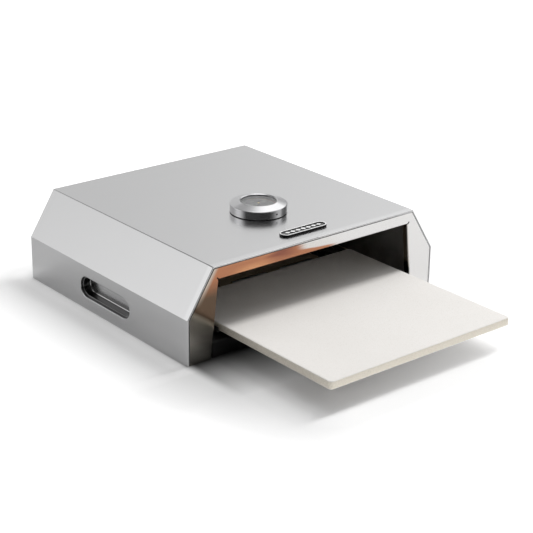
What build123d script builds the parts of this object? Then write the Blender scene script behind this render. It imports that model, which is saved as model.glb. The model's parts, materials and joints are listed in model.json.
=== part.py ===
from build123d import *
import math
import os

# Box-shaped pizza oven with a hexagonal cross-section, an open front and a sliding baking stone.
# Millimetres. +Z is up, the mouth faces -Y, and +X is to the right of somebody standing in front of
# the mouth. The functions draw everything about the middle of the casing's footprint. Each sub-part
# is then moved back by casing_offset, which puts the origin in the middle of the whole footprint,
# with the stone drawn out, on the resting plane.

# --- Driving dimensions -------------------------------------------------------------------------
body_width = 400.0
body_depth = 350.0
body_height = 118.0
side_height = 59.0        # upright part of each side, below the bevel
top_width = 325.0         # flat top between the two bevels

sheet = 1.0               # stainless steel of the outer casing
liner_sheet = 0.8         # dark steel of the inner parts
bend = 2.0                # outside radius of a folded corner

hem_thickness = 2.4       # front edge of the hood, folded back on itself
hem_depth = 8.0
hem_lean = 0.5            # how far the hem leans inwards at its front
frame_gap = 0.25          # joint between the hem and the front frame
frame_depth = 12.5        # how far the front frame's outer flange reaches back

mouth_height = 100.0      # underside of the lintel
mouth_top_width = 307.0
mouth_foot_width = 329.0
mouth_return = 9.5        # flange folded back round the mouth

stone_side = 290.0
stone_thickness = 10.0
stone_corner = 5.0
stone_underside = 28.0    # height of the stone above the resting plane
stone_home_front = -165.0 # front edge of the stone when it is pushed home
stone_pulled_out = 200.0  # how far the stone is drawn out of the mouth at rest

handle_length = 110.0
handle_height = 28.0
handle_centre_z = 30.0
handle_depth = 14.0       # of the whole recess
collar_depth = 3.0        # of its rim

# Heights of the thermometer's and the nameplate's parts are taken from the hood's top.
thermometer_y = -58.0
thermometer_radius = 37.0
thermometer_shoulder = 11.3
thermometer_height = 15.2
gasket_thickness = 1.0
dial_radius = 24.6
glass_radius = 24.8
dial_top = 8.0
glass_low = 12.2
glass_top = 13.6
stem_length = 47.0

nameplate_y = -146.0
nameplate_length = 72.0
nameplate_width = 16.0
nameplate_rim_width = 2.0
nameplate_rim_height = 3.0
nameplate_plate_height = 1.8

# --- Places worked out from them ----------------------------------------------------------------
front_y = -body_depth / 2
rear_y = body_depth / 2
half_width = body_width / 2
hood_rear_y = rear_y - sheet              # the rear panel closes the last sheet thickness
foot_width = 16.0                         # foot of each side, folded inwards
foot_front_y = front_y + 17.0             # clear of the front frame
rear_flange = 12.0
frame_inset = hem_thickness + frame_gap
screw_head = 2.0                          # height of the rear panel's screw heads
stone_front_y = stone_home_front - stone_pulled_out
casing_offset = -(stone_front_y + rear_y + screw_head) / 2

base_top = 21.0                           # upper face of the raised base
base_half = 183.0
base_lip_half = 162.0                     # narrower between the two jambs
base_front_y = front_y + 2.1
base_wide_y = front_y + 15.0
base_rear_y = 165.0
base_foot_half = 198.0
slot_length = 60.0                        # air slots in the base, under the stone
slot_width = 10.0
slot_pitch_x = 80.0
slot_pitch_y = 44.0
slot_first_y = -130.0
slot_rows = 6
rear_slot_length = 96.0                   # larger air slots behind the stone
rear_slot_width = 14.0
rear_slot_pitch = 110.0
rear_slot_y = 149.0

liner_front_y = base_wide_y
liner_rear_y = 160.0
liner_flange = 10.0
flange_round = 4.0                        # outer corners of the liner's flanges

rail_inner_x = stone_side / 2 - 12        # each rail carries this much less than half the stone
rail_lip_x = stone_side / 2 + 1.5
rail_rear_y = 127.0

stud_radius = 2.0
screw_radius = 1.9
rivet_radius = 1.5
rivet_hole = 1.6
nameplate_stud_radius = 1.2
stem_radius = 3.0                         # probe tube of the thermometer
thread_radius = 4.0                       # its threaded collar
spindle_radius = 0.5
dial_low = dial_top - 0.4
washer_thickness = 1.4

press_fit = 0.01                          # radial gap between pressed parts
running = 0.05                            # radial clearance of a turning or screwed fit
clear_hole = 0.2                          # radial clearance of a loose hole
beyond = 1.0                              # how far a cutting tool reaches past the faces it cuts

# Half width at the foot, height of the shoulder, half width of the top, height of the top.
hood_outline = (half_width, side_height, top_width / 2, body_height)
liner_outline = (172.0, 74.0, 156.0, 105.0)

OUTPUT_FOLDER = "parts"


# --- Helpers ------------------------------------------------------------------------------------
def between(sketch, low_y, high_y):
    """Solid with this cross-section (sketch x, y become X, Z), reaching from low_y to high_y."""
    return Pos(0, high_y, 0) * extrude(Plane.XZ * sketch, high_y - low_y)


def block(low, high):
    """Box from its lowest to its highest corner."""
    size = [b - a for a, b in zip(low, high)]
    centre = [(a + b) / 2 for a, b in zip(low, high)]
    return Pos(*centre) * Box(*size)


def rod(radius, low_z, high_z, x=0.0, y=0.0):
    """Upright cylinder."""
    return Pos(x, y, (low_z + high_z) / 2) * Cylinder(radius, high_z - low_z)


def tube(outer, inner, low_z, high_z, x=0.0, y=0.0):
    """Upright ring."""
    return rod(outer, low_z, high_z, x, y) - rod(inner, low_z - beyond, high_z + beyond, x, y)


def rod_along_y(radius, low_y, high_y, x, z):
    """Cylinder lying front to back."""
    return between(Pos(x, z) * Circle(radius), low_y, high_y)


def arch(outline, inset, foot, radius):
    """Face under two upright sides, two bevels and a flat top, all moved inwards by inset."""
    half, shoulder, half_top, top = outline
    bevel = math.atan2(half - half_top, top - shoulder)
    shoulder_drop = inset * math.tan(bevel / 2)
    crown_shift = inset * math.tan(math.pi / 4 - bevel / 2)
    right = [(half - inset, foot), (half - inset, shoulder - shoulder_drop),
             (half_top - crown_shift, top - inset)]
    left = [(-x, z) for x, z in right]
    line = Polyline(*left, *reversed(right))
    line = fillet(line.vertices(), radius)
    return make_face(line + Line(line @ 1, line @ 0))


def arch_strip(outline, inset, thickness, foot, radius=bend):
    """Face of a bent sheet that follows the arch, open at the foot."""
    outer = arch(outline, inset, foot, radius)
    return outer - arch(outline, inset + thickness, foot - beyond, max(radius - thickness, 0.3))


def obround(length, width):
    """Slot outline with round ends, along sketch x."""
    return SlotOverall(length, width)


def on_left_side(sketch, outer_x, depth):
    """Solid that goes inwards by depth from the plane x = -outer_x (sketch x, y become Y, Z)."""
    side = Plane(origin=(-outer_x, 0, 0), x_dir=(0, 1, 0), z_dir=(1, 0, 0))
    return extrude(side * sketch, depth)


def on_top(sketch, low, high, y=0.0):
    """Solid over a flat sketch, from low to high above the hood's top."""
    return Pos(0, y, body_height + low) * extrude(sketch, high - low)


def turned(points):
    """Ring turned about the thermometer's axis from (radius, height above the top) points."""
    face = make_face(Polyline(*points, close=True))
    return Pos(0, thermometer_y, body_height) * revolve(Plane.XZ * face, axis=Axis.Z)


def gauge_rod(radius, low, high):
    """Upright cylinder on the thermometer's axis, heights above the hood's top."""
    return rod(radius, body_height + low, body_height + high, 0, thermometer_y)


def gauge_tube(outer, inner, low, high):
    """Upright ring on the thermometer's axis, heights above the hood's top."""
    return gauge_rod(outer, low, high) - gauge_rod(inner, low - beyond, high + beyond)


def both_sides(points):
    """The same points and their mirror images, left and right."""
    return [(side * x, other) for side in (-1, 1) for x, other in points]


def group(solids):
    """Like pieces that share one node."""
    return Compound(children=list(solids))


def edges_at(part, axis, value, reach=0.02):
    """Edges whose middle lies at this value along the axis."""
    return [e for e in part.edges() if abs(e.center().dot(axis.direction) - value) < reach]


def opening_edges(face):
    """Edges round the first opening in a face."""
    return face.inner_wires()[0].edges()


# --- Casing -------------------------------------------------------------------------------------
def rear_screw_places():
    """(x, z) of the screws that hold the rear panel to the hood's rear flange."""
    inset = sheet + rear_flange / 2
    top_z = body_height - inset
    return both_sides([(half_width - inset, 12.0), (half_width - inset, 50.0),
                       (150.0, top_z), (55.0, top_z)])


def base_fixing_places():
    """(x, y) of the studs that hold the base to the hood's feet."""
    return both_sides([(half_width - 8.5, y) for y in (-130.0, 0.0, 130.0)])


def nameplate_stud_places():
    """(x, y) of the two studs behind the nameplate."""
    return both_sides([(24.0, nameplate_y)])


def hem():
    """Folded front edge of the hood. It leans inwards a little and is round at the front."""
    back_y = front_y + hem_depth
    front_face = Pos(0, front_y, 0) * (Plane.XZ * arch(hood_outline, hem_lean, 0, bend))
    back_face = Pos(0, back_y, 0) * (Plane.XZ * arch(hood_outline, 0, 0, bend))
    inside = arch(hood_outline, hem_thickness, -beyond, bend)
    ring = loft([front_face, back_face], ruled=True)
    ring -= between(inside, front_y - beyond, back_y + beyond)
    front_rim = [e for e in edges_at(ring, Axis.Y, front_y) if e.center().Z > 0.01]
    return fillet(front_rim, (hem_thickness - hem_lean) / 2 - 0.05)


def grip_collar():
    """Rim of the left grip opening, drawn inwards with a rounded mouth."""
    mouth_round = 0.9
    outer = obround(handle_length + 2 * sheet, handle_height + 2 * sheet)
    ring = on_left_side(Pos(0, handle_centre_z) * (outer - obround(handle_length, handle_height)),
                        half_width, collar_depth)
    return fillet(opening_edges(ring.faces().sort_by(Axis.X)[0]), mouth_round)


def outer_shell():
    """Folded hood: top, two bevels, two sides, feet, a hemmed front edge and a rear flange."""
    shell = between(arch_strip(hood_outline, 0, sheet, 0), front_y + hem_depth, hood_rear_y)
    shell += hem()
    shell += between(arch_strip(hood_outline, sheet / 2, sheet / 2 + rear_flange, 0),
                     hood_rear_y - sheet, hood_rear_y)
    opening = Pos(0, handle_centre_z) * obround(handle_length + 2 * sheet, handle_height + 2 * sheet)
    left_cut = on_left_side(opening, half_width + beyond, sheet + 2 * beyond)
    shell -= left_cut
    shell -= mirror(left_cut, about=Plane.YZ)
    collar = grip_collar()
    shell += collar
    shell += mirror(collar, about=Plane.YZ)
    for side in (-1, 1):
        inner, outer = sorted((side * (half_width - foot_width), side * (half_width - sheet / 2)))
        shell += block((inner, foot_front_y, 0), (outer, hood_rear_y, sheet))
    for x, y in base_fixing_places():
        shell -= rod(stud_radius + running, -beyond, sheet + beyond, x, y)
    for x, z in rear_screw_places():
        shell -= rod_along_y(screw_radius + running, hood_rear_y - sheet - beyond, hood_rear_y + beyond, x, z)
    top_low = body_height - sheet - beyond
    top_high = body_height + beyond
    for x, y in nameplate_stud_places():
        shell -= rod(nameplate_stud_radius + clear_hole, top_low, top_high, x, y)
    return shell - rod(thread_radius + clear_hole, top_low, top_high, 0, thermometer_y)


def mouth_face(grow, foot):
    """Outline of the mouth, moved outwards by grow, standing on foot."""
    lean = (mouth_foot_width - mouth_top_width) / 2 / mouth_height
    top = mouth_height + grow
    spread = grow * math.hypot(1, lean)
    low_half = mouth_foot_width / 2 - lean * foot + spread
    top_half = mouth_foot_width / 2 - lean * top + spread
    corners = [(-low_half, foot), (low_half, foot), (top_half, top), (-top_half, top)]
    return make_face(Polyline(*corners, close=True))


def front_frame():
    """Polished plate round the mouth, flanged back under the hem and round the mouth itself.

    A relief slit at each upper corner lets the mouth's flanges fold without tearing.
    """
    foot = 0.3
    face_y = front_y + 0.5
    outer_round = 1.5
    mouth_round = 1.8
    plate = between(arch(hood_outline, frame_inset, foot, bend), face_y, face_y + sheet)
    plate += between(arch_strip(hood_outline, frame_inset, sheet, foot), face_y, face_y + frame_depth)
    outer_rim = [e for e in edges_at(plate, Axis.Y, face_y) if e.center().Z > foot + 0.01]
    plate = fillet(outer_rim, outer_round)
    collar_face = mouth_face(sheet, foot) - mouth_face(0, foot - beyond)
    frame = plate + between(collar_face, face_y, face_y + mouth_return)
    frame -= between(mouth_face(0, -beyond), face_y - beyond, face_y + mouth_return + beyond)
    mouth_rim = [e for e in edges_at(frame, Axis.Y, face_y)
                 if e.center().Z > foot + 0.01 and abs(e.center().X) < mouth_foot_width / 2
                 and e.center().Z < mouth_height + 0.01]
    frame = fillet(mouth_rim, mouth_round)
    relief_length = 8.0
    relief_width = 1.7
    relief = Box(relief_length, 3 * frame_depth, relief_width)
    for side in (-1, 1):
        corner = Pos(side * mouth_top_width / 2, face_y, mouth_height)
        frame -= corner * Rot(0, -45 * side, 0) * relief
    return frame


def rear_panel():
    """Flat plate that closes the back."""
    inset = 1.5
    foot = 1.0
    panel = between(arch(hood_outline, inset, foot, bend), hood_rear_y, rear_y)
    for x, z in rear_screw_places():
        panel -= rod_along_y(screw_radius + clear_hole, hood_rear_y - beyond, rear_y + beyond, x, z)
    return panel


def rear_panel_screws():
    """Pan-head screws through the rear panel into the hood's rear flange."""
    head_radius = 3.5
    head_round = 1.2
    shank = 8.0
    cross_length = 3.4
    cross_depth = 1.8
    cross_width = 0.7
    cross = Box(cross_length, cross_depth, cross_width) + Box(cross_width, cross_depth, cross_length)
    top_y = rear_y + screw_head
    screws = []
    for x, z in rear_screw_places():
        head = rod_along_y(head_radius, rear_y, top_y, x, z)
        head = fillet(edges_at(head, Axis.Y, top_y), head_round)
        screw = head + rod_along_y(screw_radius, rear_y - shank, rear_y, x, z)
        screws.append(screw - Pos(x, top_y, z) * cross)
    return group(screws)


def grip_cup():
    """Pressed cup behind the left grip opening, welded to the rim of the collar."""
    length = handle_length - 5.0
    height = handle_height - 5.0
    flange_spread = 8.0
    floor_round = 1.5
    mouth_round = 0.7
    rim_x = half_width - collar_depth
    depth = handle_depth - collar_depth
    centre = Pos(0, handle_centre_z)
    outer = on_left_side(centre * obround(length + 2 * liner_sheet, height + 2 * liner_sheet), rim_x, depth)
    outer = fillet(edges_at(outer, Axis.X, depth - rim_x), floor_round + liner_sheet)
    flange_face = obround(handle_length + flange_spread, handle_height + flange_spread)
    flange = on_left_side(centre * flange_face, rim_x, liner_sheet)
    inner = on_left_side(centre * obround(length, height), rim_x, depth - liner_sheet)
    inner = fillet(edges_at(inner, Axis.X, depth - liner_sheet - rim_x), floor_round)
    cup = outer + flange - inner
    return fillet(opening_edges(cup.faces().sort_by(Axis.X)[0]), mouth_round)


# --- Base and liner -----------------------------------------------------------------------------
def rail_rivet_places():
    """(x, y) of the rivets that hold the stone rails and the stone stop to the base."""
    rails = [(rail_inner_x - 7, y) for y in (-150.0, -20.0, 118.0)]
    return both_sides(rails + [(70.0, rail_rear_y + 6)])


def liner_rivet_places():
    """(x, y) of the rivets that hold the liner's feet to the base."""
    return both_sides([(liner_outline[0] + liner_flange / 2, y) for y in (-130.0, 0.0, 130.0)])


def liner_wall_rivet_places():
    """(x, z) of the rivets that hold the liner's rear wall."""
    middle = liner_flange / 2
    half, _, half_top, top = liner_outline
    return both_sides([(half + middle, 40.0), (half_top - 20, top + middle), (50.0, top + middle)])


def base_plate():
    """Raised base: slotted floor, front lip, rear flange, and sides that end in outward feet."""
    lip_foot = 0.5
    lip_round = 1.6
    under = base_top - sheet
    floor = block((-base_half, base_wide_y, under), (base_half, base_rear_y, base_top))
    floor += block((-base_lip_half, base_front_y, under), (base_lip_half, base_wide_y + sheet, base_top))
    floor += block((-base_lip_half, base_front_y, lip_foot), (base_lip_half, base_front_y + sheet, base_top))
    lip_edge = [e for e in edges_at(floor, Axis.Y, base_front_y) if abs(e.center().Z - base_top) < 0.01]
    floor = fillet(lip_edge, lip_round)
    floor += block((-base_half, base_rear_y - sheet, 2 * sheet), (base_half, base_rear_y, base_top))
    for side in (-1, 1):
        wall = sorted((side * (base_half - sheet), side * base_half))
        foot = sorted((side * (base_half - sheet), side * base_foot_half))
        floor += block((wall[0], base_wide_y, sheet), (wall[1], base_rear_y, base_top))
        floor += block((foot[0], foot_front_y + sheet, sheet), (foot[1], base_rear_y, 2 * sheet))
    slot = extrude(obround(slot_length, slot_width), 2 * sheet, both=True)
    for x in (-slot_pitch_x, 0, slot_pitch_x):
        for row in range(slot_rows):
            floor -= Pos(x, slot_first_y + slot_pitch_y * row, base_top) * slot
    rear_slot = extrude(obround(rear_slot_length, rear_slot_width), 2 * sheet, both=True)
    for x in (-rear_slot_pitch, 0, rear_slot_pitch):
        floor -= Pos(x, rear_slot_y, base_top) * rear_slot
    for x, y in rail_rivet_places() + liner_rivet_places():
        floor -= rod(rivet_hole, under - beyond, base_top + beyond, x, y)
    for x, y in base_fixing_places():
        floor -= rod(stud_radius + clear_hole, sheet - beyond, 2 * sheet + beyond, x, y)
    return floor


def base_studs():
    """Threaded studs that stand in the hood's feet, flush with the resting plane."""
    top = 9.0
    tip_bevel = 0.5
    studs = []
    for x, y in base_fixing_places():
        stud = rod(stud_radius, 0, top, x, y)
        studs.append(chamfer(edges_at(stud, Axis.Z, top), tip_bevel))
    return group(studs)


def hexagon_nut(across_flats, bore, low_z, high_z, x, y):
    """Hexagon nut with its upper corners turned away."""
    corner = across_flats / math.sqrt(3)
    body = Pos(x, y, low_z) * extrude(RegularPolygon(corner, 6), high_z - low_z)
    cone = rod(corner, low_z - beyond, high_z, x, y)
    cone = chamfer(edges_at(cone, Axis.Z, high_z), corner - 0.48 * across_flats)
    return (body & cone) - rod(bore, low_z - beyond, high_z + beyond, x, y)


def base_nuts():
    """Nuts on the base studs."""
    across_flats = 7.0
    low = 2 * sheet
    high = low + 3.2
    return group(hexagon_nut(across_flats, stud_radius + running, low, high, x, y)
                 for x, y in base_fixing_places())


def rivet(x, y, low_z, high_z):
    """Rivet through sheets between two heights, with a domed head above."""
    head_radius = 3.2
    head_top = high_z + 1.0
    head_round = 0.8
    tail_radius = 2.3
    tail_foot = low_z - 1.8
    head = rod(head_radius, high_z, head_top, x, y)
    head = fillet(edges_at(head, Axis.Z, head_top), head_round)
    return head + rod(rivet_radius, low_z, high_z, x, y) + rod(tail_radius, tail_foot, low_z, x, y)


def inner_liner():
    """Dark inner hood that faces the flame, with flanges at the front, at the rear and at its feet."""
    half, _, _, top = liner_outline
    probe_hole = 6.0
    liner = between(arch_strip(liner_outline, 0, liner_sheet, base_top), liner_front_y, liner_rear_y)
    flange = arch_strip(liner_outline, -liner_flange, liner_flange + liner_sheet / 2, base_top, flange_round)
    liner += between(flange, liner_front_y, liner_front_y + liner_sheet)
    liner += between(flange, liner_rear_y - liner_sheet, liner_rear_y)
    for side in (-1, 1):
        inner, outer = sorted((side * (half - liner_sheet / 2), side * (half + liner_flange)))
        liner += block((inner, liner_front_y, base_top), (outer, liner_rear_y, base_top + liner_sheet))
    for x, y in liner_rivet_places():
        liner -= rod(rivet_hole, base_top - beyond, base_top + liner_sheet + beyond, x, y)
    for x, z in liner_wall_rivet_places():
        liner -= rod_along_y(rivet_hole, liner_rear_y - liner_sheet - beyond, liner_rear_y + beyond, x, z)
    return liner - rod(probe_hole, top - liner_sheet - beyond, top + beyond, 0, thermometer_y)


def liner_rear_wall():
    """Dark plate across the back of the liner."""
    back_y = liner_rear_y + liner_sheet
    wall = between(arch(liner_outline, -liner_flange, base_top, flange_round), liner_rear_y, back_y)
    for x, z in liner_wall_rivet_places():
        wall -= rod_along_y(rivet_hole, liner_rear_y - beyond, back_y + beyond, x, z)
    return wall


def liner_rivets():
    """Rivets of the liner's feet and of its rear wall."""
    rivets = [rivet(x, y, base_top - sheet, base_top + liner_sheet) for x, y in liner_rivet_places()]
    for x, z in liner_wall_rivet_places():
        upright = rivet(0, 0, -liner_sheet, liner_sheet)
        rivets.append(Pos(x, liner_rear_y, z) * Rot(-90, 0, 0) * upright)
    return group(rivets)


def stone_rail():
    """Right-hand rail: foot on the base, ledge under the stone and a low guide lip beside it."""
    ledge_top = stone_underside - 0.1
    lip_top = stone_underside + 5.0
    foot_x = rail_inner_x - 13.0
    outline = [(foot_x, base_top), (rail_inner_x, base_top), (rail_inner_x, ledge_top - sheet),
               (rail_lip_x + sheet, ledge_top - sheet), (rail_lip_x + sheet, lip_top),
               (rail_lip_x, lip_top), (rail_lip_x, ledge_top), (rail_inner_x - sheet, ledge_top),
               (rail_inner_x - sheet, base_top + sheet), (foot_x, base_top + sheet)]
    rail = between(make_face(Polyline(*outline, close=True)), stone_home_front, rail_rear_y)
    for x, y in rail_rivet_places():
        rail -= rod(rivet_hole, base_top - beyond, base_top + sheet + beyond, x, y)
    return rail


def stone_stop():
    """Angle across the back that the stone comes up against."""
    half = 90.0
    foot_depth = 11.0
    upright_top = stone_underside + 8.0
    stop = block((-half, rail_rear_y, base_top), (half, rail_rear_y + foot_depth, base_top + sheet))
    stop += block((-half, rail_rear_y - sheet, base_top), (half, rail_rear_y, upright_top))
    for x, y in rail_rivet_places():
        stop -= rod(rivet_hole, base_top - beyond, base_top + sheet + beyond, x, y)
    return stop


def rail_rivets():
    """Rivets of the two rails and of the stop."""
    return group(rivet(x, y, base_top - sheet, base_top + sheet) for x, y in rail_rivet_places())


# --- Stone --------------------------------------------------------------------------------------
def pizza_stone():
    """Square baking stone, drawn out of the mouth at rest."""
    edge_round = 1.2
    middle_y = stone_front_y + stone_side / 2
    outline = RectangleRounded(stone_side, stone_side, stone_corner)
    slab = Pos(0, middle_y, stone_underside) * extrude(outline, stone_thickness)
    top = edges_at(slab, Axis.Z, stone_underside + stone_thickness)
    bottom = edges_at(slab, Axis.Z, stone_underside)
    return fillet(top + bottom, edge_round)


# --- Thermometer --------------------------------------------------------------------------------
def thermometer_bezel():
    """Spun cover: upright skirt, conical shoulder and a lip over the glass, with one vent hole."""
    wall = 0.9
    crown_radius = 24.5
    lip_radius = 23.1
    shoulder_round = 1.3
    crown_round = 0.35
    vent_radius = 1.25
    vent_height = 6.0
    inner_radius = thermometer_radius - wall
    shell = turned([(inner_radius, gasket_thickness), (thermometer_radius, gasket_thickness),
                    (thermometer_radius, thermometer_shoulder), (crown_radius, thermometer_height),
                    (lip_radius, thermometer_height - wall), (lip_radius, glass_top),
                    (crown_radius + 0.4, glass_top), (crown_radius + 0.5, glass_top + 0.5),
                    (inner_radius, thermometer_shoulder - 0.7)])
    shell = fillet(edges_at(shell, Axis.Z, body_height + thermometer_shoulder), shoulder_round)
    shell = fillet(edges_at(shell, Axis.Z, body_height + thermometer_height), crown_round)
    skirt_y = thermometer_y - thermometer_radius
    vent_z = body_height + vent_height
    return shell - rod_along_y(vent_radius, skirt_y - beyond, skirt_y + wall + beyond, 0, vent_z)


def thermometer_body():
    """Back plate with the inner wall that carries the dial and the glass."""
    sheet_top = gasket_thickness + 0.8
    plate_radius = 36.0
    wall_outer = 25.8
    wall_inner = 25.0
    ledge_radius = 23.4
    return turned([(stem_radius + running, gasket_thickness), (plate_radius, gasket_thickness),
                   (plate_radius, sheet_top), (wall_outer, sheet_top), (wall_outer, glass_top - 0.4),
                   (wall_inner, glass_top - 0.4), (wall_inner, dial_low), (ledge_radius, dial_low),
                   (ledge_radius, sheet_top), (stem_radius + running, sheet_top)])


def thermometer_pointer():
    """Needle with a round hub and a short tail, aimed at the start of the scale."""
    low = dial_top + 1.6
    high = low + 0.4
    hub_radius = 2.0
    start_angle = 225.0
    needle = make_face(Polyline((-6, -0.9), (-6, 0.9), (0, 1.2), (19, 0.25), (19, -0.25), (0, -1.2),
                                close=True))
    blade = on_top(Rot(0, 0, start_angle) * (needle + Circle(hub_radius)), low, high, thermometer_y)
    return blade - gauge_rod(spindle_radius + press_fit, low - beyond, high + beyond)


def thermometer_stem():
    """Probe tube with a threaded collar under the back plate, closed at the tip."""
    top = 5.0
    bore = 2.3
    tip_bevel = 1.0
    tip_wall = 0.8
    thread_end = -12.0
    return turned([(bore, top), (stem_radius, top), (stem_radius, gasket_thickness),
                   (thread_radius, gasket_thickness), (thread_radius, thread_end),
                   (stem_radius, thread_end - tip_wall), (stem_radius, tip_bevel - stem_length),
                   (stem_radius - tip_bevel, -stem_length), (0, -stem_length), (0, tip_wall - stem_length),
                   (bore, tip_wall - stem_length)])


def bimetal_coil():
    """Helical strip that turns the spindle when it warms."""
    wire_radius = 0.2
    path = Helix(pitch=2.0, height=26.0, radius=1.5)
    wire = sweep(Plane(origin=path @ 0, z_dir=path % 0) * Circle(wire_radius), path=path)
    return Pos(0, thermometer_y, body_height + 1.0 - stem_length) * wire


# --- Nameplate ----------------------------------------------------------------------------------
def nameplate_opening(gap=0.0):
    """Outline inside the nameplate's rim, with a gap all round."""
    inset = 2 * (nameplate_rim_width - gap)
    return obround(nameplate_length - inset, nameplate_width - inset)


def nameplate_plate():
    """Black plate with two studs behind it."""
    stud_length = 6.0
    plate = on_top(nameplate_opening(), 0, nameplate_plate_height, nameplate_y)
    for x, y in nameplate_stud_places():
        plate += rod(nameplate_stud_radius, body_height - stud_length, body_height + 0.5, x, y)
    return plate


def nameplate_rim():
    """Bright rounded rim round the plate."""
    edge_round = 0.6
    ring = obround(nameplate_length, nameplate_width) - nameplate_opening(press_fit)
    rim = on_top(ring, 0, nameplate_rim_height, nameplate_y)
    return fillet(edges_at(rim, Axis.Z, body_height + nameplate_rim_height), edge_round)


def nameplate_emblem():
    """Row of raised lozenges, tallest in the middle."""
    count = 7
    pitch = 8.4
    half_length = 3.8
    tallest = 3.8
    taper = 0.03
    top = nameplate_plate_height + 0.8
    lozenges = []
    for i in range(count):
        x = (i - (count - 1) / 2) * pitch
        half_height = tallest - taper * abs(x)
        face = make_face(Polyline((-half_length, 0), (0, -half_height), (half_length, 0), (0, half_height),
                                  close=True))
        lozenges.append(on_top(Pos(x, 0) * face, nameplate_plate_height, top, nameplate_y))
    return group(lozenges)


def nameplate_push_nuts():
    """Spring washers on the nameplate's studs, under the hood's top."""
    nut_radius = 4.0
    nut_thickness = 0.6
    top = body_height - sheet
    bore = nameplate_stud_radius + running
    return group(tube(nut_radius, bore, top - nut_thickness, top, x, y) for x, y in nameplate_stud_places())


# --- All the nodes ------------------------------------------------------------------------------
def thermometer_nut():
    """Hexagon nut that draws the thermometer down on the hood, from below."""
    across_flats = 13.0
    thickness = 5.6
    top = body_height - sheet - washer_thickness
    return hexagon_nut(across_flats, thread_radius + running, top - thickness, top, 0, thermometer_y)


left_cup = grip_cup()
right_rail = stone_rail()

nodes = {
    "outer_shell": outer_shell(),
    "front_frame": front_frame(),
    "rear_panel": rear_panel(),
    "rear_panel_screws": rear_panel_screws(),
    "grip_cup_left": left_cup,
    "grip_cup_right": mirror(left_cup, about=Plane.YZ),
    "base_plate": base_plate(),
    "base_studs": base_studs(),
    "base_nuts": base_nuts(),
    "inner_liner": inner_liner(),
    "liner_rear_wall": liner_rear_wall(),
    "liner_rivets": liner_rivets(),
    "stone_rail_left": mirror(right_rail, about=Plane.YZ),
    "stone_rail_right": right_rail,
    "stone_stop": stone_stop(),
    "rail_rivets": rail_rivets(),
    "pizza_stone": pizza_stone(),
    "thermometer_bezel": thermometer_bezel(),
    "thermometer_body": thermometer_body(),
    "thermometer_glass": gauge_rod(glass_radius, glass_low, glass_top),
    "thermometer_spacer_ring": gauge_tube(24.9, 23.6, dial_top, glass_low),
    "thermometer_dial": gauge_tube(dial_radius, 1.0, dial_low, dial_top),
    "thermometer_pointer": thermometer_pointer(),
    "thermometer_spindle": gauge_rod(spindle_radius, 3.0 - stem_length, dial_top + 2.4),
    "thermometer_bush": gauge_tube(2.25, spindle_radius + running, 2.0, 5.0),
    "thermometer_stem": thermometer_stem(),
    "bimetal_coil": bimetal_coil(),
    "thermometer_gasket": gauge_tube(34.0, thread_radius + clear_hole, 0.0, gasket_thickness),
    "thermometer_washer": gauge_tube(9.0, thread_radius + clear_hole, -sheet - washer_thickness, -sheet),
    "thermometer_nut": thermometer_nut(),
    "nameplate_plate": nameplate_plate(),
    "nameplate_rim": nameplate_rim(),
    "nameplate_emblem": nameplate_emblem(),
    "nameplate_push_nuts": nameplate_push_nuts(),
}

os.makedirs(OUTPUT_FOLDER, exist_ok=True)
for name, shape in nodes.items():
    placed = [Pos(0, casing_offset, 0) * solid for solid in shape.solids()]
    node = placed[0] if len(placed) == 1 else group(placed)
    node.label = name
    export_step(node, os.path.join(OUTPUT_FOLDER, name + ".step"))
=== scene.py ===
import json
import math

import bmesh
import bpy
from mathutils import Matrix, Vector, noise


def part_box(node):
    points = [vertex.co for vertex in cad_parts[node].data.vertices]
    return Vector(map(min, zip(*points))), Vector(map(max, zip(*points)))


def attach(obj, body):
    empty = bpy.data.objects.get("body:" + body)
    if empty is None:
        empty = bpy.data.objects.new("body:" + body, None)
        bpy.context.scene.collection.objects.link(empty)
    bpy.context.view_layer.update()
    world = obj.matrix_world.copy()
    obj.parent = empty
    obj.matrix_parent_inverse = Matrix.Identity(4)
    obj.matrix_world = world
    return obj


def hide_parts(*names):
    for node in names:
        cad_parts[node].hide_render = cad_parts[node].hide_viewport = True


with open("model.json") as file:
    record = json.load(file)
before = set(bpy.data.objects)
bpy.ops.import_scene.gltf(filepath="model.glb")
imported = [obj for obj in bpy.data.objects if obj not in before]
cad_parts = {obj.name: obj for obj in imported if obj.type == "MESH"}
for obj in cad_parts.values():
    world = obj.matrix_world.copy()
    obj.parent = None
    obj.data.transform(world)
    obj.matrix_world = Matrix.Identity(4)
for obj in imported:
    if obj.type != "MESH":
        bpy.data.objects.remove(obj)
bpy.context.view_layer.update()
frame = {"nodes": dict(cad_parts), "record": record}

# Lengths are in metres in the row frame, which is the frame of the CAD: +Z is up, the mouth faces -Y and
# +X is to the right of somebody standing in front of the mouth.
MM = 0.001
CASING_LOW, CASING_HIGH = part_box("outer_shell")
FRAME_LOW, FRAME_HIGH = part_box("front_frame")
STONE_LOW, STONE_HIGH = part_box("pizza_stone")
CUP_LOW, CUP_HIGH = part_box("grip_cup_right")
CASING_TOP = CASING_HIGH.z
SHOULDER_HEIGHT = 59 * MM

BLACK = (0.0, 0.0, 0.0)
WHITE = (1.0, 1.0, 1.0)


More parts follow.
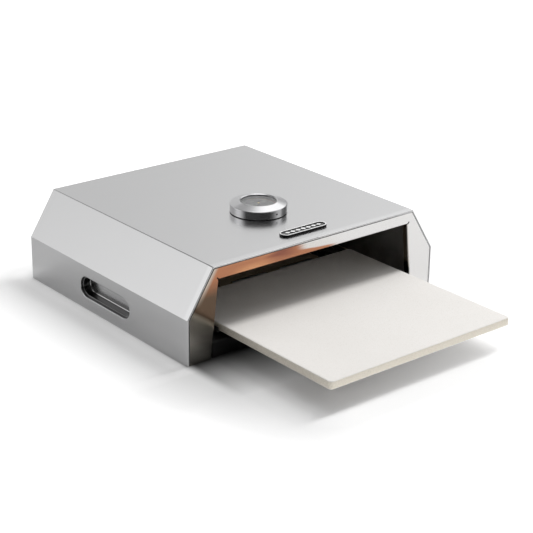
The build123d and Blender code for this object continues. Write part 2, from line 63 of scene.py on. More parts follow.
# --- Shader helpers -----------------------------------------------------------------------------
class Shader:
    """Builds the node tree of one material, or of the world."""

    def __init__(self, owner):
        owner.use_nodes = True
        self.tree = owner.node_tree
        self.tree.nodes.clear()

    def add(self, kind, inputs=None, **settings):
        """New node. Each input is a value or another node's socket."""
        node = self.tree.nodes.new(kind)
        for key, value in settings.items():
            setattr(node, key, value)
        for key, value in (inputs or {}).items():
            if isinstance(value, bpy.types.NodeSocket):
                self.tree.links.new(value, node.inputs[key])
            else:
                node.inputs[key].default_value = value
        return node

    def place(self, piece=None):
        """Position in the row frame, or in the frame of another piece."""
        return self.add("ShaderNodeTexCoord", object=piece).outputs["Object"]

    def stretched(self, scale):
        """Row-frame position times a scale per axis."""
        return self.add("ShaderNodeMapping", {"Vector": self.place(), "Scale": scale}).outputs["Vector"]

    def noise(self, vector, scale, detail=3.0, roughness=0.55):
        found = self.add("ShaderNodeTexNoise", {"Vector": vector, "Scale": scale, "Detail": detail,
                                                "Roughness": roughness})
        return found.outputs["Fac"]

    def cells(self, vector, scale):
        """Distance to the middle of the nearest cell."""
        return self.add("ShaderNodeTexVoronoi", {"Vector": vector, "Scale": scale}).outputs["Distance"]

    def span(self, value, low, high, to_low=0.0, to_high=1.0, smooth=False):
        """Value carried from one range to another, and held at its ends."""
        kind = "SMOOTHSTEP" if smooth else "LINEAR"
        node = self.add("ShaderNodeMapRange", {"Value": value, "From Min": low, "From Max": high,
                                               "To Min": to_low, "To Max": to_high}, interpolation_type=kind)
        return node.outputs["Result"]

    def uneven(self, pattern, low, high):
        """A noise pattern carried to a range that it fills almost from end to end."""
        return self.span(pattern, 0.3, 0.7, low, high)

    def peak(self, value, middle, reach):
        """1 where the value is at the middle, and 0 where it is further away than reach."""
        return self.span(self.size(self.sum(value, -middle)), 0.0, reach, 1.0, 0.0, smooth=True)

    def rest(self, value):
        """What is left of 1."""
        return self.span(value, 0.0, 1.0, 1.0, 0.0)

    def sum(self, total, *others):
        for other in others:
            total = self.math("ADD", total, other)
        return total

    def product(self, total, *others):
        for other in others:
            total = self.math("MULTIPLY", total, other)
        return total

    def size(self, value):
        """The value without its sign."""
        return self.math("ABSOLUTE", value)

    def length(self, a, b):
        """Length of a vector in a plane."""
        return self.math("SQRT", self.sum(self.product(a, a), self.product(b, b)))

    def math(self, operation, a, b=0.0):
        return self.add("ShaderNodeMath", {0: a, 1: b}, operation=operation).outputs["Value"]

    def blend(self, factor, a, b):
        """Colour a turning into colour b."""
        node = self.add("ShaderNodeMix", {"Factor": factor, "A": opaque(a), "B": opaque(b)}, data_type="RGBA")
        return node.outputs["Result"]

    def axes(self, vector):
        node = self.add("ShaderNodeSeparateXYZ", {"Vector": vector})
        return node.outputs["X"], node.outputs["Y"], node.outputs["Z"]

    def normal_axes(self):
        return self.axes(self.add("ShaderNodeNewGeometry").outputs["Normal"])

    def ray(self, kind):
        """1 for one kind of ray, such as "Is Camera Ray", and 0 for the others."""
        return self.add("ShaderNodeLightPath").outputs[kind]

    def bump(self, height, distance, strength=1.0, normal=None):
        inputs = {"Height": height, "Distance": distance, "Strength": strength}
        if normal is not None:
            inputs["Normal"] = normal
        return self.add("ShaderNodeBump", inputs).outputs["Normal"]

    def finish(self, **inputs):
        """Principled surface. Names have underscores for spaces."""
        values = {key.replace("_", " "): opaque(value) for key, value in inputs.items()}
        surface = self.add("ShaderNodeBsdfPrincipled", values)
        self.add("ShaderNodeOutputMaterial", {"Surface": surface.outputs["BSDF"]})


def opaque(value):
    """A colour of three numbers with alpha added. Anything else is returned as it is."""
    is_colour = isinstance(value, tuple) and len(value) == 3
    return (*value, 1.0) if is_colour else value


def new_material(name):
    material = bpy.data.materials.new(name)
    return material, Shader(material)


# --- Metals -------------------------------------------------------------------------------------
def steel(name, colour, roughness, along="X", grain=0.5, smudge=0.04, wave=0.0, painted_shade=None, bare=None):
    """Satin stainless steel: fine grain along one axis, faint smudges, slightly wavy sheet.

    A function given for painted shade gives the share of each place that is painted dark as shade, and bare
    one that gives the share that is pale and matt.
    """
    material, s = new_material(name)
    across_grain, along_grain = 2600.0, 14.0
    scale = [across_grain] * 3
    scale["XYZ".index(along)] = along_grain
    lines = s.noise(s.stretched(scale), 1.0, 2.0)
    clouds = s.noise(s.place(), 16.0, 4.0)
    rough = s.sum(s.uneven(lines, -0.05 * grain, 0.05 * grain),
                  s.uneven(clouds, roughness - smudge, roughness + smudge))
    darker = tuple(part * (1 - 0.08 * grain) for part in colour)
    tone = s.blend(s.span(lines, 0.35, 0.65), darker, colour)
    if painted_shade:
        # Painted shade: the masked places are darkened where shade falls in recesses.
        shade_tone = (0.07, 0.07, 0.07)
        tone = s.blend(painted_shade(s), tone, shade_tone)
    normal = s.bump(lines, 0.02 * MM * grain, 0.3)
    if wave:
        normal = s.bump(s.noise(s.place(), 5.0, 1.0), wave, 1.0, normal)
    metallic = s.rest(bare(s)) if bare else 1.0
    s.finish(Base_Color=tone, Metallic=metallic, Roughness=rough, Normal=normal)
    return material


def outwardness(s):
    """How far a surface faces away from the middle of the hood's front: positive outside, negative inside."""
    middle_height = 50 * MM
    x, _, z = s.axes(s.place())
    out_x, _, out_z = s.normal_axes()
    return s.sum(s.product(out_x, x), s.product(out_z, s.sum(z, -middle_height)))


def hem_inside(s):
    """1 on the face of the hem that is turned towards the front frame."""
    hem_back = CASING_LOW.y + 8 * MM
    _, y, _ = s.axes(s.place())
    return s.product(s.span(y, hem_back, hem_back - 1 * MM), s.span(outwardness(s), -0.01, -0.03))


def grip_wall(s):
    """Share of painted shade on the grip cups: 1 on the upright walls, 0.75 on their flanges and 0 on their
    floors.
    """
    x, _, _ = s.axes(s.place())
    out, _, _ = s.normal_axes()
    wall = s.span(s.size(out), 0.85, 0.45, smooth=True)
    flange = s.span(s.size(x), CUP_HIGH.x - 0.6 * MM, CUP_HIGH.x - 0.3 * MM, 0.0, 0.75)
    return s.math("MAXIMUM", wall, flange)


def grip_rim(s):
    """Share of painted shade: 0.8 inside the rims of the two grip openings in the casing, and 0 on the hem
    and the outer faces.
    """
    x, y, z = s.axes(s.place())
    half_height = 16 * MM
    from_middle = s.size(s.sum(z, -(CUP_LOW.z + CUP_HIGH.z) / 2))
    inside = s.span(s.size(x), CASING_HIGH.x - 0.9 * MM, CASING_HIGH.x - 0.6 * MM, 1.0, 0.0)
    beside = s.span(from_middle, half_height, half_height + 1 * MM, 1.0, 0.0)
    behind_hem = s.span(y, CUP_LOW.y - 2 * MM, CUP_LOW.y - 1 * MM)
    return s.product(inside, beside, behind_hem, 0.8)


def copper_reflection(s, x, z, streaks, shift):
    """Painted reflection on the lintel in copper tones: streaked, paler at the lower left and deeper near the
    top.
    """
    light_copper = (0.56, 0.26, 0.145)
    copper = (0.46, 0.20, 0.115)
    pale_copper = (0.74, 0.38, 0.20)
    deep_copper = (0.30, 0.12, 0.085)
    tone = s.blend(streaks, light_copper, copper)
    pale = s.product(s.peak(x, -102 * MM, 45 * MM), s.span(z, CASING_TOP - 8 * MM, CASING_TOP - 16 * MM))
    tone = s.blend(pale, tone, pale_copper)
    deep = s.product(s.peak(s.sum(x, shift), -56 * MM, 36 * MM),
                     s.span(z, CASING_TOP - 17 * MM, CASING_TOP - 9 * MM))
    return s.blend(deep, tone, deep_copper)


def left_jamb_reflection(s, x, z, copper):
    """Painted reflection and shade on the left jamb: painted shade at its foot, a warm reflection above it, a
    brown reflection above a slanting line, copper where it meets the lintel, and paler beside its outer edge.
    """
    foot_shade = (0.42, 0.40, 0.36)
    warm_reflection = (0.85, 0.80, 0.71)
    brown = (0.145, 0.100, 0.070)
    pale_edge = (0.62, 0.55, 0.48)
    tint_slope = 0.7
    slant = s.sum(z, s.product(s.sum(x, 168.5 * MM), tint_slope))
    tone = s.blend(s.span(z, 15 * MM, 35 * MM), foot_shade, warm_reflection)
    tone = s.blend(s.span(slant, 45 * MM, 54 * MM), tone, brown)
    tone = s.blend(s.span(z, 80 * MM, 103 * MM), tone, copper)
    edge_x = s.span(z, SHOULDER_HEIGHT, CASING_TOP, -198 * MM, -160.5 * MM)
    from_edge = s.sum(x, s.product(edge_x, -1.0))
    beside_edge = s.product(s.span(from_edge, 10 * MM, 4 * MM), s.span(z, 70 * MM, 98 * MM))
    return s.blend(beside_edge, tone, pale_edge)


def rim_shade_and_light(s, x):
    """Edge of the frame that faces the hem: painted shade on the left, painted light on the right, grey
    between.
    """
    left, middle, right = (0.08, 0.08, 0.08), (0.26, 0.26, 0.26), (0.95, 0.95, 0.95)
    inner, outer = 120 * MM, 165 * MM
    tone = s.blend(s.span(x, -outer, -inner), left, middle)
    return s.blend(s.span(x, inner, outer), tone, right)


def front_frame_steel():
    """Polished frame with painted reflections, copper on the left of the lintel and brown on the left jamb,
    and with painted shade on the return flange and painted shade and light on the rim that faces the hem.
    """
    material, s = new_material("frame_steel")
    bare_steel = (0.80, 0.79, 0.78)
    flange_shade = (0.16, 0.13, 0.10)
    x, y, z = s.axes(s.place())
    drift = s.noise(s.place(), 14.0, 3.0)
    streaks = s.noise(s.stretched((14.0, 14.0, 160.0)), 1.0, 3.0)
    shift = s.uneven(streaks, -8 * MM, 8 * MM)
    # Painted reflection in copper on the left part of the lintel.
    copper = copper_reflection(s, x, z, streaks, shift)
    slant = s.span(z, CASING_TOP - 11 * MM, CASING_TOP - 15 * MM, 0.0, -45 * MM)
    lintel = s.blend(s.span(s.sum(x, shift, slant), -12 * MM, -34 * MM, smooth=True), bare_steel, copper)
    # Painted reflection and shade on the left jamb.
    tone = s.blend(s.span(x, -150 * MM, -154 * MM), lintel, left_jamb_reflection(s, x, z, copper))
    # Painted shade on the return flange behind the face.
    tone = s.blend(s.span(y, FRAME_LOW.y + 2.2 * MM, FRAME_LOW.y + 3.2 * MM), tone, flange_shade)
    # Painted shade and light on the rim that faces the hem.
    tone = s.blend(s.span(outwardness(s), 0.015, 0.045, smooth=True), tone, rim_shade_and_light(s, x))
    s.finish(Base_Color=tone, Metallic=1.0, Roughness=s.uneven(drift, 0.15, 0.22),
             Normal=s.bump(s.noise(s.place(), 5.0, 1.0), 0.4 * MM))
    return material


def dark_sheet(name, colour, roughness, metallic, inside=None, camera_shade=0.0):
    """Matt sheet with grey dust and a few rubbed patches.

    inside is its colour further back than the mouth, when that differs. The last argument is how much darker
    the camera sees it than the stone does, which it lights: painted shade for the dim inside of the oven.
    """
    material, s = new_material(name)
    clouds = s.noise(s.place(), 18.0, 5.0, 0.65)
    grit = s.noise(s.place(), 700.0, 2.0)
    dusty = tuple(part * 1.6 + 0.02 for part in colour)
    tone = s.blend(s.span(clouds, 0.5, 0.8), colour, dusty)
    if inside:
        _, y, _ = s.axes(s.place())
        tone = s.blend(s.span(y, FRAME_LOW.y + 20 * MM, FRAME_LOW.y + 50 * MM), tone, inside)
    # Painted shade: darker to the camera only, for the dim inside of the oven.
    if camera_shade:
        tone = s.blend(s.product(s.ray("Is Camera Ray"), camera_shade), tone, BLACK)
    rough = s.sum(s.uneven(clouds, -0.08, 0.08), roughness)
    s.finish(Base_Color=tone, Metallic=metallic, Roughness=rough, Normal=s.bump(grit, 0.1 * MM, 0.4))
    return material


def bezel_metal():
    """Spun thermometer cover with fine turned lines. Its skirt is smoother than its cone, and painted shade
    makes the skirt darker than the cone and one side of the cone darker.
    """
    material, s = new_material("bezel_chrome")
    shaded_skirt_tone = (0.61, 0.61, 0.62)
    cone_tone = (0.73, 0.73, 0.74)
    shaded_tone = (0.38, 0.38, 0.39)
    shaded_side = math.radians(-25)
    low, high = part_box("thermometer_bezel")
    middle = (low + high) / 2
    x, y, _ = s.axes(s.place())
    radius = s.length(s.sum(x, -middle.x), s.sum(y, -middle.y))
    rings = s.noise(s.add("ShaderNodeCombineXYZ", {"X": radius}).outputs["Vector"], 9000.0, 2.0)
    out_x, out_y, up = s.normal_axes()
    satin = s.span(up, 0.3, 0.8, smooth=True)
    toward = s.sum(s.product(out_x, math.cos(shaded_side)), s.product(out_y, math.sin(shaded_side)))
    shaded = s.span(s.math("DIVIDE", toward, s.length(out_x, out_y)), 0.8, 1.0)
    # Painted shade on the skirt and on one side of the cone.
    tone = s.blend(satin, shaded_skirt_tone, s.blend(shaded, cone_tone, shaded_tone))
    rough = s.sum(s.span(satin, 0.0, 1.0, 0.12, 0.24), s.uneven(rings, -0.03, 0.03))
    s.finish(Base_Color=tone, Metallic=1.0, Roughness=rough, Normal=s.bump(rings, 0.02 * MM, 0.4))
    return material


def nameplate_metal():
    """Bright top faces over black enamelled sides."""
    material, s = new_material("nameplate_bright")
    enamel = (0.010, 0.010, 0.011)
    bright_top = (0.93, 0.93, 0.93)
    _, _, up = s.normal_axes()
    bright = s.span(up, 0.30, 0.55, smooth=True)
    clouds = s.noise(s.place(), 400.0, 3.0)
    s.finish(Base_Color=s.blend(bright, enamel, bright_top), Metallic=s.product(bright, 0.45),
             Roughness=s.uneven(clouds, 0.20, 0.30), Specular_IOR_Level=s.span(bright, 0.0, 1.0, 0.15, 0.5))
    return material


def brass_metal():
    material, s = new_material("brass")
    fresh, tarnished = (0.80, 0.62, 0.30), (0.58, 0.42, 0.20)
    clouds = s.noise(s.place(), 300.0, 3.0)
    s.finish(Base_Color=s.blend(clouds, fresh, tarnished), Metallic=1.0,
             Roughness=s.uneven(clouds, 0.25, 0.40))
    return material


# --- Other materials ----------------------------------------------------------------------------
def stone_surface():
    """Fired stone: ivory faces with fine pores and specks, coarser and darker on the cut edges."""
    material, s = new_material("stone")
    ivory, light_ivory, speck = (0.83, 0.81, 0.785), (0.88, 0.86, 0.84), (0.79, 0.765, 0.73)
    edge_dark, edge_light, pore_brown = (0.64, 0.59, 0.50), (0.86, 0.81, 0.715), (0.35, 0.31, 0.25)
    _, _, up = s.normal_axes()
    side = s.span(s.size(up), 0.8, 0.3, smooth=True)
    clouds = s.noise(s.place(), 9.0, 5.0, 0.6)
    grain = s.noise(s.place(), 900.0, 4.0, 0.7)
    from_pore = s.span(s.cells(s.place(), 420.0), 0.10, 0.22)
    face = s.blend(s.uneven(clouds, 0.0, 1.0), ivory, light_ivory)
    face = s.blend(s.span(grain, 0.35, 0.65), speck, face)
    edge = s.blend(s.uneven(grain, 0.0, 1.0), edge_dark, edge_light)
    tone = s.blend(side, face, edge)
    tone = s.blend(s.span(from_pore, 0.0, 1.0, 0.25, 0.0), tone, pore_brown)
    height = s.sum(s.product(grain, 0.5), from_pore)
    s.finish(Base_Color=tone, Roughness=s.uneven(grain, 0.80, 0.95), Specular_IOR_Level=0.25,
             Normal=s.bump(height, 0.25 * MM, 0.5))
    return material


def matt_paint(name, colour, roughness, coat=0.0):
    """Paint, print, rubber or enamel, with a faint unevenness."""
    material, s = new_material(name)
    grit = s.noise(s.place(), 1500.0, 2.0)
    clouds = s.noise(s.place(), 60.0, 3.0)
    lighter = tuple(part * 1.25 + 0.008 for part in colour)
    s.finish(Base_Color=s.blend(s.span(clouds, 0.35, 0.65), colour, lighter),
             Roughness=s.uneven(clouds, roughness - 0.05, roughness + 0.05),
             Coat_Weight=coat, Coat_Roughness=0.08, Normal=s.bump(grit, 0.04 * MM, 0.3))
    return material


def clear_glass():
    material, s = new_material("gauge_glass")
    smears = s.noise(s.place(), 90.0, 3.0)
    s.finish(Base_Color=(0.96, 0.97, 0.97), Roughness=s.span(smears, 0.4, 0.7, 0.02, 0.08), IOR=1.5,
             Transmission_Weight=1.0)
    return material


# One material for each slot of the record.
MATERIALS = {
    "casing_steel": steel("casing_steel", (0.76, 0.76, 0.765), 0.24, grain=0.25, smudge=0.012,
                          wave=0.3 * MM, painted_shade=grip_rim, bare=hem_inside),
    "frame_steel": front_frame_steel(),
    "rear_steel": steel("rear_steel", (0.72, 0.72, 0.73), 0.30, grain=0.35, smudge=0.02, wave=0.4 * MM),
    "grip_steel": steel("grip_steel", (0.72, 0.72, 0.725), 0.20, "Y", grain=0.15, smudge=0.01,
                        painted_shade=grip_wall),
    "base_steel": dark_sheet("base_steel", (0.022, 0.022, 0.022), 0.42, 0.3, inside=(0.46, 0.38, 0.29)),
    "liner_steel": dark_sheet("liner_steel", (0.52, 0.505, 0.49), 0.36, 0.35, camera_shade=0.6),
    "rail_steel": steel("rail_steel", (0.20, 0.195, 0.19), 0.38, "Y", grain=0.8, smudge=0.06),
    "zinc_steel": steel("zinc_steel", (0.72, 0.73, 0.75), 0.30, "Z", smudge=0.06),
    "stone": stone_surface(),
    "bezel_chrome": bezel_metal(),
    "gauge_metal": steel("gauge_metal", (0.62, 0.62, 0.62), 0.30, "Z", grain=0.6, smudge=0.05),
    "gauge_glass": clear_glass(),
    "dial_face": matt_paint("dial_face", (0.125, 0.125, 0.13), 0.45),
    "pointer_black": matt_paint("pointer_black", (0.03, 0.03, 0.03), 0.40),
    "black_rubber": matt_paint("black_rubber", (0.015, 0.015, 0.016), 0.60),
    "brass": brass_metal(),
    "nameplate_black": matt_paint("nameplate_black", (0.012, 0.012, 0.013), 0.30, coat=0.6),
    "nameplate_bright": nameplate_metal(),
}
PRINT_WHITE = matt_paint("print_white", (0.42, 0.42, 0.41), 0.5)
PRINT_ORANGE = matt_paint("print_orange", (0.42, 0.20, 0.07), 0.5)
PRINT_RED = matt_paint("print_red", (0.30, 0.06, 0.04), 0.5)


def paint_cad_nodes():
    """Gives each CAD node the material of its slot in the record."""
    for subpart in frame["record"]["subparts"]:
        node = frame["nodes"][subpart["node"]]
        node.data.materials.clear()
        node.data.materials.append(MATERIALS[subpart["material_slot"]])


# --- Pieces -------------------------------------------------------------------------------------
def add_piece(name, mesh_data, slot_name, body, material=None):
    """Turns a bmesh into an object of the scene that rides on a body."""
    mesh = bpy.data.meshes.new(name)
    mesh_data.to_mesh(mesh)
    mesh_data.free()
    mesh.materials.append(material or MATERIALS[slot_name])
    piece = bpy.data.objects.new(name, mesh)
    bpy.context.scene.collection.objects.link(piece)
    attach(piece, body)
    return piece


def skin_rings(mesh_data, rings):
    """Smooth walls between closed rings of vertices, with a flat face on the first and on the last."""
    count = len(rings[0])
    for below, above in zip(rings, rings[1:]):
        for i in range(count):
            j = (i + 1) % count
            mesh_data.faces.new((below[i], below[j], above[j], above[i])).smooth = True
    mesh_data.faces.new(list(reversed(rings[0])))
    mesh_data.faces.new(rings[-1])


def rounded_square(half, radius, side_steps, corner_steps):
    """Points round a square with round corners, anticlockwise."""
    points = []
    straight = half - radius
    for quarter in range(4):
        turn = Matrix.Rotation(quarter * math.pi / 2, 2)
        for i in range(side_steps):
            points.append(turn @ Vector((half, straight * (2 * i / side_steps - 1))))
        for i in range(corner_steps):
            angle = i / corner_steps * math.pi / 2
            points.append(turn @ Vector((straight + radius * math.cos(angle),
                                         straight + radius * math.sin(angle))))
    return points


def stone_profile(thickness, edge_round):
    """How far in from the stone's side, and how high, each ring of its skin lies."""
    cap_inset = 2.2 * MM
    wall_steps = 5
    turns = [share * math.pi / 2 for share in (0.0, 0.3, 0.6, 1.0)]
    lower = [(edge_round * (1 - math.sin(turn)), edge_round * (1 - math.cos(turn))) for turn in turns]
    wall = [(0.0, edge_round + (thickness - 2 * edge_round) * i / wall_steps) for i in range(1, wall_steps)]
    upper = [(inset, thickness - rise) for inset, rise in reversed(lower)]
    return [(cap_inset, 0.0)] + lower + wall + upper + [(cap_inset, thickness)]


def stone_wear(place):
    """How far in a point of the stone's edge is worn: a fine roughness everywhere, and a few chips."""
    rough = noise.fractal(place * 260, 1.0, 2.0, 3) * 0.08 * MM
    chip = max(0.0, noise.noise(place * 210 + Vector((7, 3, 1))) - 0.42) * 1.6 * MM
    return rough + chip


def fired_stone():
    """Baking stone with the small chips and unevenness of a cut and fired edge."""
    corner_radius = 5.0 * MM
    edge_round = 1.3 * MM
    middle = (STONE_LOW + STONE_HIGH) / 2
    half = (STONE_HIGH.x - STONE_LOW.x) / 2
    mesh_data = bmesh.new()
    rings = []
    for inset, rise in stone_profile(STONE_HIGH.z - STONE_LOW.z, edge_round):
        ring = []
        for point in rounded_square(half - inset, corner_radius - inset, 140, 8):
            wear = stone_wear(Vector((point.x, point.y, rise))) if inset < edge_round else 0.0
            x, y = point - point.normalized() * wear
            ring.append(mesh_data.verts.new((middle.x + x, middle.y + y, STONE_LOW.z + rise)))
        rings.append(ring)
    skin_rings(mesh_data, rings)
    piece = add_piece("fired_stone", mesh_data, "stone", "stone")
    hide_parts("pizza_stone")
    return piece


# The dial's scale starts at the lower left and runs clockwise. Angles are in degrees from +X.
SCALE_START = 225.0
SCALE_SPAN = 270.0
PRINT_HEIGHT = 0.06 * MM


def dial_middle():
    """Middle of the dial's top face."""
    low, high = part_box("thermometer_dial")
    return Vector(((low.x + high.x) / 2, (low.y + high.y) / 2, high.z))


def on_scale(share, radius):
    """Point on the dial, from its middle: share 0 is the start of the scale and share 1 its end."""
    angle = math.radians(SCALE_START - share * SCALE_SPAN)
    return Vector((math.cos(angle), math.sin(angle))) * radius


def add_print(mesh_data, corners):
    """Thin raised patch of print over flat corners."""
    base = dial_middle()
    low = [mesh_data.verts.new((base.x + x, base.y + y, base.z)) for x, y in corners]
    top = [mesh_data.verts.new((base.x + x, base.y + y, base.z + PRINT_HEIGHT)) for x, y in corners]
    mesh_data.faces.new(top)
    mesh_data.faces.new(list(reversed(low)))
    for i in range(len(corners)):
        j = (i + 1) % len(corners)
        mesh_data.faces.new((low[i], low[j], top[j], top[i]))


def dial_ticks():
    """Short and long tick marks round the dial."""
    count = 40
    ticks_per_long_one = 5
    outer = 20.6 * MM
    mesh_data = bmesh.new()
    for i in range(count + 1):
        is_long = i % ticks_per_long_one == 0
        inner = (17.6 if is_long else 19.2) * MM
        half_width = (0.34 if is_long else 0.17) * MM
        outward = on_scale(i / count, 1.0)
        aside = Vector((-outward.y, outward.x)) * half_width
        add_print(mesh_data, [inner * outward + aside, inner * outward - aside,
                              outer * outward - aside, outer * outward + aside])
    add_piece("dial_ticks", mesh_data, "dial_face", "oven", PRINT_WHITE)


def dial_zone(name, start, end, material):
    """Coloured arc outside the tick marks, between two shares of the scale."""
    inner, outer = 21.2 * MM, 22.4 * MM
    steps = 24
    shares = [start + (end - start) * i / steps for i in range(steps + 1)]
    mesh_data = bmesh.new()
    for a, b in zip(shares, shares[1:]):
        add_print(mesh_data, [on_scale(a, inner), on_scale(a, outer), on_scale(b, outer), on_scale(b, inner)])
    add_piece(name, mesh_data, "dial_face", "oven", material)


def dial_numbers():
    """Generic numbers by every second long tick."""
    last = 4
    letter_height = 4.4 * MM
    middle_radius = 13.4 * MM
    base = dial_middle()
    for i in range(last + 1):
        text = bpy.data.curves.new("number", "FONT")
        text.body = str(i * 100)
        text.size = letter_height
        text.align_x = "CENTER"
        text.align_y = "CENTER"
        text.extrude = PRINT_HEIGHT / 2
        writing = bpy.data.objects.new("number", text)
        bpy.context.scene.collection.objects.link(writing)
        x, y = on_scale(i / last, middle_radius)
        writing.location = (base.x + x, base.y + y, base.z + PRINT_HEIGHT / 2)
        bpy.context.view_layer.update()
        graph = bpy.context.evaluated_depsgraph_get()
        solid = bpy.data.meshes.new_from_object(writing.evaluated_get(graph))
        mesh_data = bmesh.new()
        mesh_data.from_mesh(solid)
        mesh_data.transform(writing.matrix_world)
        bpy.data.objects.remove(writing)
        add_piece(f"dial_number_{i}", mesh_data, "dial_face", "oven", PRINT_WHITE)


def pointer_cap():
    """Small domed brass cap on the pointer's hub."""
    dome = [(1.7 * MM, 0.0), (1.7 * MM, 0.25 * MM), (1.45 * MM, 0.5 * MM), (0.9 * MM, 0.68 * MM)]
    sides = 24
    hub = dial_middle()
    pointer_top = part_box("thermometer_pointer")[1].z
    mesh_data = bmesh.new()
    rings = []
    for radius, rise in dome:
        ring = []
        for i in range(sides):
            angle = i * 2 * math.pi / sides
            ring.append(mesh_data.verts.new((hub.x + radius * math.cos(angle),
                                             hub.y + radius * math.sin(angle), pointer_top + rise)))
        rings.append(ring)
    skin_rings(mesh_data, rings)
    add_piece("pointer_cap", mesh_data, "brass", "pointer")


# --- Camera and lamp ----------------------------------------------------------------------------
# The camera looks at a point beside the casing's foot, which is given from the casing's middle.
CAMERA_AZIMUTH = math.radians(-39.556)
CAMERA_ELEVATION = math.radians(21.959)
CAMERA_ROLL = math.radians(0.808)
CAMERA_DISTANCE = 2.05443
CAMERA_AIM = Vector((0.07426, 0.01426, 0.0))
CAMERA_LENS = 100.95
SENSOR_WIDTH = 36.0

KEY_DIRECTION = Vector((0.60, -0.04, 0.80)).normalized()
KEY_DISTANCE = 3.0
KEY_LENGTH = 2.3
KEY_WIDTH = 0.5
KEY_POWER = 57.0


def casing_middle():
    """Middle of the casing's footprint, with the rear panel."""
    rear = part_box("rear_panel")[1].y
    return Vector((0.0, (CASING_LOW.y + rear) / 2, 0.0))


def add_camera():
    back = Vector((math.sin(CAMERA_AZIMUTH) * math.cos(CAMERA_ELEVATION),
                   -math.cos(CAMERA_AZIMUTH) * math.cos(CAMERA_ELEVATION), math.sin(CAMERA_ELEVATION)))
    level = Vector((0, 0, 1)).cross(back).normalized()
    upright = back.cross(level)
    right = level * math.cos(CAMERA_ROLL) + upright * math.sin(CAMERA_ROLL)
    up = upright * math.cos(CAMERA_ROLL) - level * math.sin(CAMERA_ROLL)
    data = bpy.data.cameras.new("camera")
    data.lens = CAMERA_LENS
    data.sensor_width = SENSOR_WIDTH
    camera = bpy.data.objects.new("camera", data)
    turn = Matrix((right, up, back)).transposed().to_4x4()
    place = casing_middle() + CAMERA_AIM + back * CAMERA_DISTANCE
    camera.matrix_world = Matrix.Translation(place) @ turn
    bpy.context.scene.collection.objects.link(camera)
    bpy.context.scene.camera = camera


def add_key_light():
    """Long strip lamp, high on the right, that the steel doesn't mirror.

    It is narrow across, which gives the stone's shadow a crisp front edge.
    """
    data = bpy.data.lights.new("key", "AREA")
    data.shape = "RECTANGLE"
    data.size = KEY_WIDTH
    data.size_y = KEY_LENGTH
    data.energy = KEY_POWER
    light = bpy.data.objects.new("key", data)
    light.location = casing_middle() + KEY_DIRECTION * KEY_DISTANCE
    light.rotation_euler = KEY_DIRECTION.to_track_quat("Z", "Y").to_euler()
    light.visible_glossy = False
    bpy.context.scene.collection.objects.link(light)


# --- Floor --------------------------------------------------------------------------------------
FLOOR_HALF = 6.0
FLOOR_DROP = 0.2 * MM
PAPER_WHITE = (0.86, 0.86, 0.86)
DEEP_SHADE = (0.05, 0.05, 0.05)
# What the steel mirrors and bounced light sees of the floor, with painted shade and light: darker on the left
# than on the right, lighter by the casing's foot and darker under the stone.
MIRRORED_LEFT = (0.55, 0.55, 0.55)
MIRRORED_RIGHT = (0.85, 0.85, 0.85)
MIRRORED_FOOT = (0.92, 0.92, 0.92)
MIRRORED_UNDER_STONE = (0.62, 0.62, 0.62)


def beyond_box(s, x, y, low, high):
    """Distance on the floor from an upright box's footprint."""
    gaps = []
    for value, axis in ((x, 0), (y, 1)):
        middle, half = (low[axis] + high[axis]) / 2, (high[axis] - low[axis]) / 2
        gaps.append(s.math("MAXIMUM", s.sum(s.size(s.sum(value, -middle)), -half), 0.0))
    return s.length(*gaps)


class FloorPlaces:
    """Where each point of the floor lies beside the oven. What is measured from the stone moves with it."""

    def __init__(self, s, stone_piece):
        self.x, self.y, _ = s.axes(s.place())
        stone_x, self.stone_y, _ = s.axes(s.place(stone_piece))
        self.from_casing = beyond_box(s, self.x, self.y, CASING_LOW, CASING_HIGH)
        self.from_stone = beyond_box(s, stone_x, self.stone_y, STONE_LOW, STONE_HIGH)
        from_frame = beyond_box(s, self.x, self.y, FRAME_LOW, FRAME_HIGH)
        self.beside_frame = s.span(s.size(self.x), FRAME_HIGH.x - 0.01, FRAME_HIGH.x + 0.01, smooth=True)
        self.before_mouth = s.product(s.span(from_frame, 0.0, 0.10, 1.0, 0.0), s.span(self.x, 0.0, -0.10),
                                      s.rest(self.beside_frame))
        self.left_shade = s.product(s.span(self.x, -0.32, -0.21), s.span(self.x, -0.15, -0.19),
                                    s.span(self.y, -0.34, -0.16), s.span(self.y, -0.07, -0.10))


def floor_glow(s, at):
    """Light that the floor gives off.

    The camera sees it rise to pure white away from the oven, and sees a little of it by the casing's sides
    and under the front of the stone. Matt surfaces are lit by a strip before the stone.
    """
    clear = s.math("MINIMUM", at.from_casing, at.from_stone)
    far = s.sum(s.span(clear, 0.035, 0.125, 0.11, 0.38), s.span(clear, 0.1, 0.8, 0.0, 0.3))
    near = s.product(s.span(at.from_casing, 0.010, 0.034, 0.12, 0.0, smooth=True), at.beside_frame)
    under_stone = s.product(s.span(at.from_stone, 0.0, 0.010, 1.0, 0.0),
                            s.span(at.x, -0.12, 0.12, -0.05, 0.17),
                            s.span(at.stone_y, STONE_LOW.y + 0.05, STONE_LOW.y + 0.10, 1.0, 0.0))
    seen = s.product(s.sum(far, near, under_stone), s.rest(at.before_mouth),
                     s.span(at.left_shade, 0.0, 1.0, 1.0, 0.1), s.span(at.from_casing, 0.0, 1 * MM),
                     s.ray("Is Camera Ray"))
    before_stone = s.product(s.span(at.stone_y, STONE_LOW.y - 0.02, STONE_LOW.y, 1.0, 0.0),
                             s.span(at.from_stone, 0.20, 0.10, 0.0, 1.1, smooth=True))
    return s.sum(seen, s.product(before_stone, s.ray("Is Diffuse Ray")))


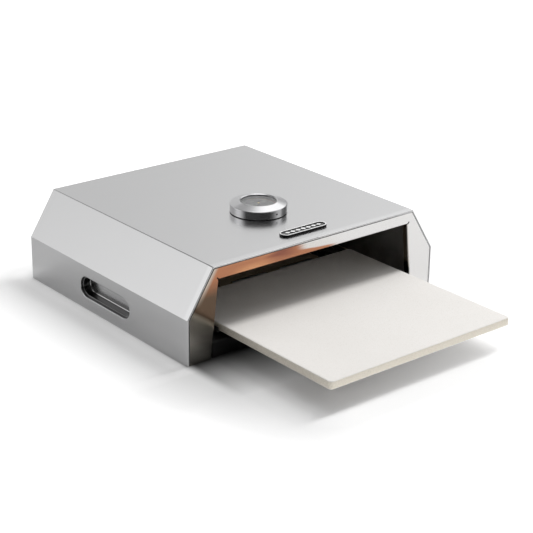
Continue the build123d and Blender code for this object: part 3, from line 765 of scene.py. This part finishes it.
def floor_paper(s, at):
    """Colour of the floor, which the steel mirrors in other tones than the camera sees, with painted shadow
    before the mouth and left of the stone.
    """
    across = s.sum(at.x, s.product(at.y, -0.6))
    mirrored = s.blend(s.span(across, -0.30, 0.0, smooth=True), MIRRORED_LEFT, MIRRORED_RIGHT)
    mirrored = s.blend(s.span(at.from_casing, 0.0, 0.045), MIRRORED_FOOT, mirrored)
    mirrored = s.blend(s.span(at.from_stone, 0.0, 0.01), MIRRORED_UNDER_STONE, mirrored)
    paper = s.blend(s.ray("Is Camera Ray"), mirrored, PAPER_WHITE)
    paper = s.blend(at.before_mouth, paper, DEEP_SHADE)
    return s.blend(s.product(at.left_shade, 0.2), paper, BLACK)


def add_floor(stone_piece):
    """White paper floor, just under the casing's feet."""
    mesh = bpy.data.meshes.new("floor")
    corners = [(x * FLOOR_HALF, y * FLOOR_HALF, 0) for x, y in ((-1, -1), (1, -1), (1, 1), (-1, 1))]
    mesh.from_pydata(corners, [], [(0, 1, 2, 3)])
    floor = bpy.data.objects.new("floor", mesh)
    floor.location.z = -FLOOR_DROP
    bpy.context.scene.collection.objects.link(floor)
    material, s = new_material("floor_white")
    at = FloorPlaces(s, stone_piece)
    s.finish(Base_Color=floor_paper(s, at), Roughness=0.9, Specular_IOR_Level=0.1,
             Emission_Color=WHITE, Emission_Strength=floor_glow(s, at))
    mesh.materials.append(material)


# --- Studio -------------------------------------------------------------------------------------
SOFTBOX_DIRECTION = Vector((0.59, 0.31, 0.74)).normalized()


def studio_walls(s, x, y, z):
    """Bright walls on the right and on the left, which fade out low down behind the camera."""
    right = s.sum(s.span(x, 0.40, 0.70, 0.46, 0.80), s.span(z, 0.28, 0.40, -0.05, 0.11))
    left = s.span(x, -0.42, -0.66, 0.60, 1.08)
    below_top = s.span(z, 0.60, 0.48, smooth=True)
    dark_far_right = s.span(x, 0.80, 0.90, 1.0, 0.1, smooth=True)
    wall = s.product(s.math("MAXIMUM", right, left), below_top, dark_far_right)
    from_camera = s.sum(s.product(x, -math.sin(CAMERA_AZIMUTH)), s.product(y, math.cos(CAMERA_AZIMUTH)))
    shown = s.math("MAXIMUM", s.span(from_camera, -0.1, -0.66, 1.0, 0.0, smooth=True),
                   s.span(z, 0.44, 0.54, 0.0, 0.6))
    return s.product(s.sum(wall, 0.02), shown)


def add_world():
    """Studio that lights the oven and that the steel mirrors. The camera itself sees white.

    x, y and z are the parts of a unit vector, so z is the sine of the height above the horizon.
    """
    world = bpy.data.worlds.new("studio")
    bpy.context.scene.world = world
    s = Shader(world)
    direction = s.add("ShaderNodeTexCoord").outputs["Generated"]
    x, y, z = s.axes(direction)
    band = s.product(s.span(z, 0.42, 0.58, 0.0, 0.36, smooth=True),
                     s.span(x, -0.1, 0.25, 0.4, 1.0, smooth=True))
    ceiling = s.sum(s.span(z, 0.72, 0.86, 0.0, 0.15, smooth=True),
                    s.span(z, 0.90, 0.97, 0.0, 1.2, smooth=True))
    toward_box = s.add("ShaderNodeVectorMath", {0: direction, 1: SOFTBOX_DIRECTION},
                       operation="DOT_PRODUCT").outputs["Value"]
    softbox = s.span(toward_box, 0.92, 0.985, smooth=True)
    studio = s.sum(studio_walls(s, x, y, z), band, ceiling, softbox)
    seen = s.ray("Is Camera Ray")
    strength = s.sum(s.product(studio, s.rest(seen)), seen)
    background = s.add("ShaderNodeBackground", {"Color": opaque(WHITE), "Strength": strength})
    s.add("ShaderNodeOutputWorld", {"Surface": background.outputs["Background"]})


# --- Scene --------------------------------------------------------------------------------------
paint_cad_nodes()
add_camera()
add_floor(fired_stone())
add_world()
add_key_light()
dial_ticks()
dial_zone("dial_warm_zone", 0.50, 0.75, PRINT_ORANGE)
dial_zone("dial_hot_zone", 0.755, 1.0, PRINT_RED)
dial_numbers()
pointer_cap()
bpy.context.scene.view_settings.view_transform = "Standard"
